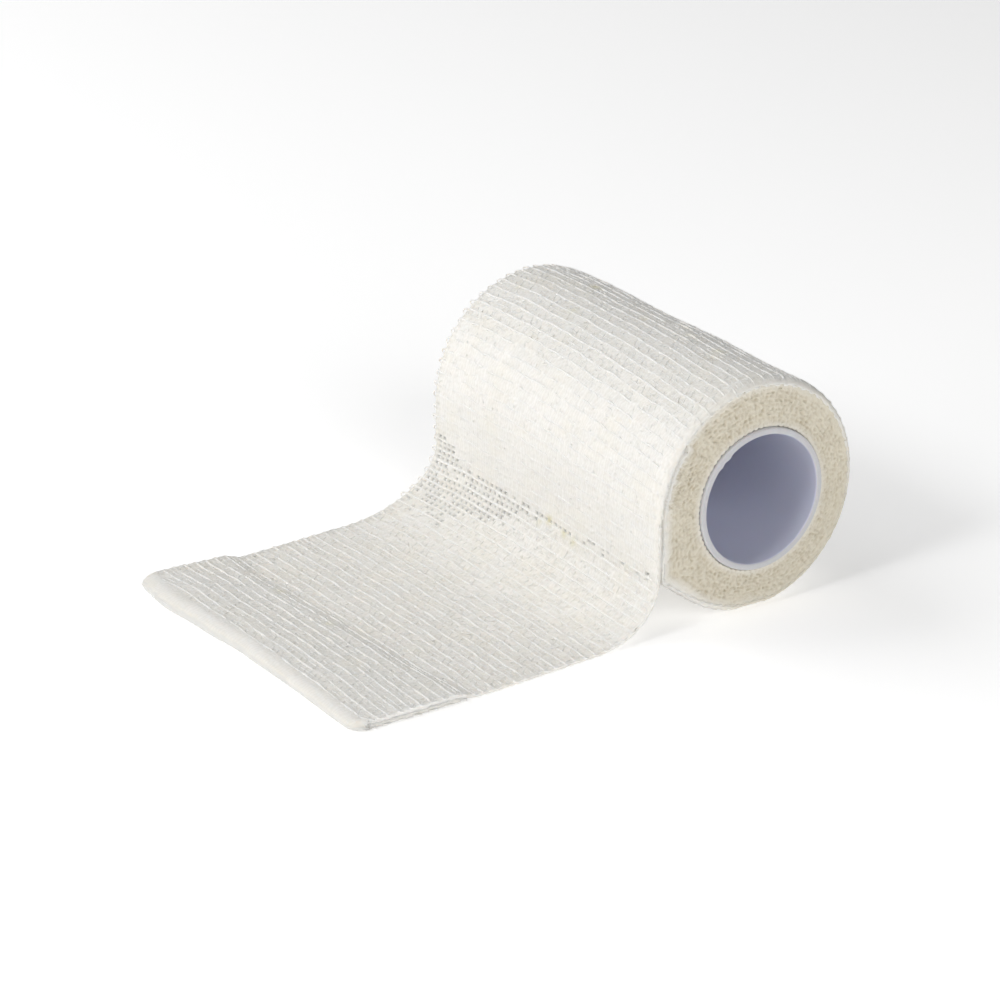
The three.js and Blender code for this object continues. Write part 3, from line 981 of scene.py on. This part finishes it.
def make_selvage_loops(name, side):
    inner = CORE_RADIUS + WINDING_GAP
    outer = wound_outline(side)
    share = np.linspace(FIRST_LOOP, LAST_LOOP, SPIRAL_STEPS)
    angle = 2 * math.pi * TURNS * share
    reach = np.interp(angle % (2 * math.pi), spokes, outer, period=2 * math.pi)
    radius = inner + (reach - inner) * share
    length = np.concatenate([[0], np.cumsum(np.hypot(np.diff(radius), radius[1:] * np.diff(angle)))])
    count = int(length[-1] / LOOP_STEP)
    even = np.linspace(0, length[-1], count)
    share = np.interp(even, length, share)
    angle = -np.interp(even, length, angle)
    reach = np.interp(angle % (2 * math.pi), spokes, outer, period=2 * math.pi)
    radius = inner + (reach - inner) * share
    inset = reach - radius
    phase = 2 * math.pi * even / WEFT_PITCH + np.cumsum(chance.normal(0, 0.22, count))
    tips = chance.uniform(0.2, 1.1, count // 3 + 1)
    big = np.interp(even, np.linspace(0, even[-1], len(tips)), tips)
    radius = radius + LOOP_SWAY * np.sin(phase + 0.9) * big + chance.normal(0, 0.03 * mm, count)
    out = LOOP_OUT * np.cos(phase) * big - LOOP_SUNK
    y = side * (STRIP_WIDTH / 2 - behind_face(inset, angle, side) + out)
    line = np.stack([CORE_X + radius * np.cos(angle), y, CORE_Z + radius * np.sin(angle)], axis=1)
    outward = np.zeros_like(line)
    outward[:, 1] = side
    half = LOOP_HALF * chance.normal(1, 0.12, count)
    points, quads = tubes(line[None], outward[None], half[None], half[None], corners=4)
    # Painted shade: a loop is painted darker the deeper it dips into the felt.
    depth = np.repeat(np.clip(0.1 - out / mm * 0.7, 0, PIT_TONE), 4)
    metres = np.repeat(np.stack([radius, even], axis=1), 4, axis=0)
    return make_piece(name, points, quads, metres, depth=depth, selvage=np.ones(len(metres)))


near_loops = make_selvage_loops("near_loops", -1.0)
far_loops = make_selvage_loops("far_loops", 1.0)

# %% [markdown]
# ## The core
# The core is a cut length of extruded plastic tube. The saw leaves a softened rim with a small burr at
# one place. It is a ring section turned round the axis, with enough segments to look round from close
# by.

# %% Make the core
CORE_SEGMENTS = 144
CORE_WALL = 1.3 * mm
RIM_ROUND = 0.35 * mm
BORE_RADIUS = CORE_RADIUS - CORE_WALL
BURR_HEIGHT = 0.35 * mm
# angle, width in radians and share of the height of each tooth of the burr
BURR = [(math.radians(128), 0.055, 1.0), (math.radians(128) + 0.16, 0.04, 0.7)]


def core_profile():
    """Radius and place along the axis, round the section once, starting inside the near end."""
    half = CORE_LENGTH / 2
    quarter = np.linspace(0, math.pi / 2, 6)
    profile = []
    for radius, end, start in (
        (BORE_RADIUS + RIM_ROUND, -half + RIM_ROUND, math.pi),
        (CORE_RADIUS - RIM_ROUND, -half + RIM_ROUND, 1.5 * math.pi),
        (CORE_RADIUS - RIM_ROUND, half - RIM_ROUND, 0.0),
        (BORE_RADIUS + RIM_ROUND, half - RIM_ROUND, 0.5 * math.pi),
    ):
        for angle in start + quarter:
            profile.append((radius + RIM_ROUND * math.cos(angle), end + RIM_ROUND * math.sin(angle)))
    profile += [(BORE_RADIUS, half * share) for share in (0.6, 0.2, -0.2, -0.6)]
    return np.array(profile)


def make_core():
    profile = core_profile()
    angle = np.arange(CORE_SEGMENTS) * 2 * math.pi / CORE_SEGMENTS
    radius = np.broadcast_to(profile[:, 0][:, None], (len(profile), CORE_SEGMENTS)).copy()
    at_mouth = (profile[:, 1] < -CORE_LENGTH / 2 + 2 * RIM_ROUND) & (profile[:, 0] < BORE_RADIUS + RIM_ROUND)
    ragged = sum(share * np.exp(-((angle - middle) / width) ** 2) for middle, width, share in BURR)
    radius[at_mouth] -= BURR_HEIGHT * ragged[None, :]
    x = CORE_X + radius * np.cos(angle)[None, :]
    z = CORE_Z + radius * np.sin(angle)[None, :]
    y = np.broadcast_to(profile[:, 1][:, None], x.shape)
    number = np.arange(x.size).reshape(x.shape)
    below = np.roll(number, -1, axis=0)
    quads = np.stack([number, np.roll(number, -1, axis=1), np.roll(below, -1, axis=1), below], axis=-1)
    metres = np.stack([y, BORE_RADIUS * np.broadcast_to(angle, x.shape)], axis=-1)
    in_bore = np.broadcast_to((profile[:, 0] < BORE_RADIUS + 0.4 * RIM_ROUND)[:, None], x.shape)
    return make_piece("core_tube", np.stack([x, y, z], axis=-1), quads, metres, bore=in_bore)


core_tube = make_core()

# %% [markdown]
# ## Finishes
# Colours are given as sRGB hex values, as picked from a screen, and one function turns them to the
# linear light that Blender works in. One small function adds a node with its settings and links.

# %% Helpers for materials
def linear(hex_colour):
    """An sRGB hex colour as linear RGBA."""
    parts = [int(hex_colour[i:i + 2], 16) / 255 for i in (1, 3, 5)]
    return tuple(p / 12.92 if p <= 0.04045 else ((p + 0.055) / 1.055) ** 2.4 for p in parts) + (1.0,)


def add_node(material, kind, links=(), **settings):
    """Adds a node. The dictionary called values sets its inputs, any other setting is a property."""
    node = material.node_tree.nodes.new("ShaderNode" + kind)
    for key, value in settings.items():
        if isinstance(value, dict):
            for socket, content in value.items():
                node.inputs[socket].default_value = content
        else:
            setattr(node, key, value)
    for socket, source in links:
        material.node_tree.links.new(source, node.inputs[socket])
    return node


def new_finish(name):
    material = bpy.data.materials.new(name)
    material.use_nodes = True
    material.node_tree.nodes.clear()
    return material


print("the middle grey #808080 is", round(linear("#808080")[0], 3), "in linear light")

# %% [markdown]
# ## Latex-coated cotton crepe
# The yarn is bleached cotton and viscose, off-white and quite matt, and the latex leaves it a touch
# warm. Light goes some way into it, so the threads look soft. Loose fibres scatter light at a glancing
# angle, which is sheen. The pits, the sunk threads and the gaps between the beads of the yarn are
# painted a little darker and yellower, as painted shade in the recesses of the weave. At the selvages
# light has to pass many layers of latex, so the ends of the roll are cream, with painted shade in the
# pits of the felt. The rim of a hole and the underside of the fold are painted in a grey shade colour.
# The finish is made in three steps: the colour of clean cloth, its stains and painted shade, and the
# surface.

# %% The colour of clean cloth
BEAD_SPACING = WARP_PITCH / 2
WAVES_PER_SCALE = 20 / (2 * math.pi)
CREST, PIT_SHADE = "#F2F0EC", "#E2DFD8"
SELVAGE_CREST, SELVAGE_PIT_SHADE = "#DAD3C2", "#B6A78A"


def clean_cloth(material, depth):
    """White yarn and cream selvage felt, with painted shade in pits and where the warps pinch the yarn."""
    selvage = add_node(material, "Attribute", attribute_name="selvage")
    metres = add_node(material, "UVMap", uv_map="cloth_metres")
    beads = add_node(
        material, "TexWave", [("Vector", metres.outputs["UV"])],
        values={
            "Scale": 1 / BEAD_SPACING / WAVES_PER_SCALE, "Distortion": 9.0,
            "Detail": 2.0, "Detail Scale": 1.3,
        },
    )
    # Painted shade between the beads of the yarn is added to the depth.
    beaded = add_node(
        material, "Math", [(0, beads.outputs["Fac"]), (2, depth.outputs["Fac"])],
        operation="MULTIPLY_ADD", values={1: 0.35},
    )
    yarn = add_node(
        material, "Mix", [(0, beaded.outputs[0])], data_type="RGBA",
        values={6: linear(CREST), 7: linear(PIT_SHADE)},
    )
    felt = add_node(
        material, "Mix", [(0, depth.outputs["Fac"])], data_type="RGBA",
        values={6: linear(SELVAGE_CREST), 7: linear(SELVAGE_PIT_SHADE)},
    )
    return add_node(
        material, "Mix", [(0, selvage.outputs["Fac"]), (6, yarn.outputs[2]), (7, felt.outputs[2])],
        data_type="RGBA",
    )


print("the warps pinch the yarn every", round(BEAD_SPACING / mm, 2), "mm")

# %% Blotches, latex spots, and painted shade at holes and under the fold
BLOTCH_SPACING = 7 * mm
SPECK_SPACING = 2.2 * mm
OLD_LATEX = "#EBE4D2"
DRIED_LATEX = "#D6CFA8"
# Painted shade at the rims of holes and on the underside of the fold.
HOLE_SHADE = "#D4D3CF"


def stained_and_shaded_cloth(material, cloth, depth, spots):
    """Faint warm blotches and specks all over, latex spots, painted shade at holes and under the fold."""
    patches = []
    for spacing, detail, roughness, low, high, most in (
        (BLOTCH_SPACING, 3.0, 0.5, 0.45, 0.75, 0.25),
        (SPECK_SPACING, 4.0, 0.7, 0.62, 0.72, 0.3),
    ):
        noise = add_node(
            material, "TexNoise", [("Vector", spots.outputs["Object"])],
            values={"Scale": 1 / spacing, "Detail": detail, "Roughness": roughness},
        )
        patches.append(add_node(
            material, "MapRange", [("Value", noise.outputs["Fac"])],
            values={"From Min": low, "From Max": high, "To Max": most},
        ))
    warm = add_node(
        material, "Math", [(k, patch.outputs["Result"]) for k, patch in enumerate(patches)],
        operation="MAXIMUM",
    )
    latex = add_node(material, "Attribute", attribute_name="latex")
    # Painted shade: depth beyond the pit tone mixes in the hole shade.
    hole_and_fold_shade = add_node(
        material, "MapRange", [("Value", depth.outputs["Fac"])],
        values={"From Min": PIT_TONE, "From Max": 1.0},
    )
    for share, shade in (
        (warm.outputs[0], OLD_LATEX),
        (latex.outputs["Fac"], DRIED_LATEX),
        (hole_and_fold_shade.outputs["Result"], HOLE_SHADE),
    ):
        cloth = add_node(
            material, "Mix", [(0, share), (6, cloth.outputs[2])], data_type="RGBA",
            values={7: linear(shade)},
        )
    return cloth


print("blotches", round(BLOTCH_SPACING / mm, 1), "mm and specks", round(SPECK_SPACING / mm, 1), "mm apart")

# %% [markdown]
# Hard-twisted yarn kinks about every 0.7 mm, which gives the cloth its grain. Single fibres are 0.02 mm
# thick, too fine to show, so the finest bumps are drawn 0.1 mm apart.

# %% Make the crepe finish
KINK_SPACING = 0.7 * mm
KINK_HEIGHT = 0.12 * mm
LIGHT_REACH = 0.5 * mm


def crepe_finish():
    material = new_finish("latex_coated_cotton_crepe")
    spots = add_node(material, "TexCoord")
    depth = add_node(material, "Attribute", attribute_name="depth")
    colour = stained_and_shaded_cloth(material, clean_cloth(material, depth), depth, spots)
    kinks = add_node(
        material, "TexNoise", [("Vector", spots.outputs["Object"])],
        values={"Scale": 1 / KINK_SPACING, "Detail": 3.0, "Roughness": 0.55},
    )
    bump = add_node(
        material, "Bump", [("Height", kinks.outputs["Fac"])],
        values={"Strength": 1.0, "Distance": KINK_HEIGHT},
    )
    shader = add_node(
        material, "BsdfPrincipled",
        [("Base Color", colour.outputs[2]), ("Normal", bump.outputs["Normal"])],
        values={
            "Roughness": 0.92, "IOR": 1.5, "Specular IOR Level": 0.25,
            "Sheen Weight": 0.15, "Sheen Roughness": 0.5,
            "Subsurface Weight": 0.5, "Subsurface Scale": LIGHT_REACH,
            "Subsurface Radius": (1.0, 0.9, 0.8),
        },
    )
    add_node(material, "OutputMaterial", [("Surface", shader.outputs[0])])
    return material


crepe = crepe_finish()
print(crepe.name, "has", len(crepe.node_tree.nodes), "nodes")

# %% [markdown]
# ## Extruded polypropylene
# The core is white polypropylene with a faint blue tint, drawn smooth through a die, so it has a soft
# gloss. The die leaves faint lines along the tube. The sawn rim is coloured a little greyer than the
# bore, and the bore a little bluer.

# %% Make the core finish
DIE_LINE_SPACING = 0.9 * mm
BORE_COLOUR = "#CDCFDF"
SAWN_LIGHT, SAWN_DARK = "#CACACC", "#C2C2C5"


def core_finish():
    material = new_finish("extruded_polypropylene")
    uv = add_node(material, "UVMap", uv_map="cloth_metres")
    stretched = add_node(
        material, "Mapping", [("Vector", uv.outputs["UV"])],
        values={"Scale": (0.02 / DIE_LINE_SPACING, 1 / DIE_LINE_SPACING, 1.0)},
    )
    lines = add_node(
        material, "TexNoise", [("Vector", stretched.outputs["Vector"])],
        values={"Scale": 1.0, "Detail": 2.0},
    )
    sawn = add_node(
        material, "Mix", [(0, lines.outputs["Fac"])], data_type="RGBA",
        values={6: linear(SAWN_LIGHT), 7: linear(SAWN_DARK)},
    )
    bore = add_node(material, "Attribute", attribute_name="bore")
    tint = add_node(
        material, "Mix", [(0, bore.outputs["Fac"]), (6, sawn.outputs[2])], data_type="RGBA",
        values={7: linear(BORE_COLOUR)},
    )
    bump = add_node(
        material, "Bump", [("Height", lines.outputs["Fac"])],
        values={"Strength": 0.15, "Distance": 0.05 * mm},
    )
    shader = add_node(
        material, "BsdfPrincipled",
        [("Base Color", tint.outputs[2]), ("Normal", bump.outputs["Normal"])],
        values={"Roughness": 0.36, "IOR": 1.49, "Subsurface Weight": 0.1, "Subsurface Scale": 0.5 * mm},
    )
    add_node(material, "OutputMaterial", [("Surface", shader.outputs[0])])
    return material


polypropylene = core_finish()
print(polypropylene.name, "has", len(polypropylene.node_tree.nodes), "nodes")

# %% [markdown]
# ## Finishes and frame
# All the cloth is one finish. The pieces of the strip stand for the solid of the bandage, the tube for
# the core. The outermost turn with its loose end is a sheet that is laid on the winding, and its threads
# go with it.

# %% Put the finishes on and tie the pieces to the frame
strip_pieces = [gauze_ground, roll_wefts, loose_wefts, roll_warps, loose_warps]
cloth_pieces = strip_pieces + [winding, near_loops, far_loops]
for piece in cloth_pieces:
    piece.data.materials.append(crepe)
core_tube.data.materials.append(polypropylene)
for piece in cloth_pieces + [core_tube]:
    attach(piece, "root")
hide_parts("bandage")
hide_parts("core")
print(len(cloth_pieces) + 1, "pieces ride on the part")

# %% [markdown]
# ## Floor, light and camera
# The roll lies on a white acrylic table that glows faintly, as product photographers use, so the ground
# around it is white and its undersides are soft. A wide softbox and a smaller key lamp at the left make
# that side of the roll the brightest and rake across the ribs. A softbox in front lights the end face,
# and one behind lifts the top.

# %% Floor
FLOOR_SIZE = 4.0
TABLE_GLOW = 0.31


def make_floor():
    half = FLOOR_SIZE / 2
    corners = np.array([(-half, -half, 0), (half, -half, 0), (half, half, 0), (-half, half, 0)], float)
    mesh = bpy.data.meshes.new("floor")
    mesh.from_pydata(corners, [], [(0, 1, 2, 3)])
    floor = bpy.data.objects.new("floor", mesh)
    bpy.context.scene.collection.objects.link(floor)
    acrylic = new_finish("opal_acrylic")
    shader = add_node(
        acrylic, "BsdfPrincipled",
        values={
            "Base Color": linear("#FCFCFC"), "Roughness": 0.95, "Specular IOR Level": 0.1,
            "Emission Color": (1.0, 1.0, 1.0, 1.0), "Emission Strength": TABLE_GLOW,
        },
    )
    add_node(acrylic, "OutputMaterial", [("Surface", shader.outputs[0])])
    mesh.materials.append(acrylic)


make_floor()
print("the floor is", FLOOR_SIZE, "m wide")


# %% Lamps and sky
def make_lamp(name, place, aim, size, watts):
    light = bpy.data.lights.new(name, "AREA")
    light.shape = "DISK"
    light.size = size
    light.energy = watts
    lamp = bpy.data.objects.new(name, light)
    lamp.location = place
    lamp.rotation_euler = (Vector(aim) - Vector(place)).to_track_quat("-Z", "Y").to_euler()
    bpy.context.scene.collection.objects.link(lamp)


# name, azimuth and elevation in degrees seen from the roll, distance, width, watts
LAMPS = [
    ("left_softbox", 165, 25, 1.1, 0.9, 3.3),
    ("left_key", 187, 37, 1.1, 0.3, 3.1),
    ("front_softbox", 265, 25, 1.1, 0.9, 5.4),
    ("back_softbox", 120, 40, 1.1, 0.9, 4.7),
]
SKY_STRENGTH = 0.105


def toward(azimuth, elevation):
    turn = math.radians(azimuth)
    rise = math.radians(elevation)
    return Vector((math.cos(turn) * math.cos(rise), math.sin(turn) * math.cos(rise), math.sin(rise)))


roll_middle = Vector((AXIS_X, 0, AXIS_HEIGHT))
for name, azimuth, elevation, distance, width, watts in LAMPS:
    make_lamp(name, roll_middle + toward(azimuth, elevation) * distance, roll_middle, width, watts)
world = bpy.data.worlds.new("pale_sky")
world.use_nodes = True
sky = world.node_tree.nodes["Background"]
sky.inputs["Color"].default_value = (1.0, 1.0, 1.0, 1.0)
sky.inputs["Strength"].default_value = SKY_STRENGTH
bpy.context.scene.world = world
bpy.context.scene.view_settings.view_transform = "Standard"
print(len(LAMPS), "lamps with", round(sum(lamp[-1] for lamp in LAMPS), 1), "watts in all")

# %% [markdown]
# The camera stands in front at the left and looks down at the roll with a long lens, turned a hair about
# its own axis. Its place is measured from the roll's axis at the table.

# %% Camera
CAMERA_FROM_AXIS = (-379.2 * mm, -522.3 * mm, 289.9 * mm)
CAMERA_AZIMUTH = math.radians(-33.58)
CAMERA_ELEVATION = math.radians(23.55)
CAMERA_ROLL = math.radians(-0.19)
SENSOR_WIDTH = 36.0
FOCAL_LENGTH = 129.6

camera_data = bpy.data.cameras.new("camera")
camera_data.sensor_width = SENSOR_WIDTH
camera_data.lens = FOCAL_LENGTH
camera = bpy.data.objects.new("camera", camera_data)
back = Vector((
    math.sin(CAMERA_AZIMUTH) * math.cos(CAMERA_ELEVATION),
    -math.cos(CAMERA_AZIMUTH) * math.cos(CAMERA_ELEVATION),
    math.sin(CAMERA_ELEVATION),
))
right = Vector((math.cos(CAMERA_AZIMUTH), math.sin(CAMERA_AZIMUTH), 0))
up = back.cross(right)
rolled_right = right * math.cos(CAMERA_ROLL) + up * math.sin(CAMERA_ROLL)
rolled_up = up * math.cos(CAMERA_ROLL) - right * math.sin(CAMERA_ROLL)
camera.matrix_world = Matrix.Translation(Vector(CAMERA_FROM_AXIS) + Vector((AXIS_X, 0, 0))) @ Matrix((
    rolled_right, rolled_up, back,
)).transposed().to_4x4()
bpy.context.scene.collection.objects.link(camera)
bpy.context.scene.camera = camera
print("the camera is", round(camera.matrix_world.translation.length, 3), "m from the middle of the frame")
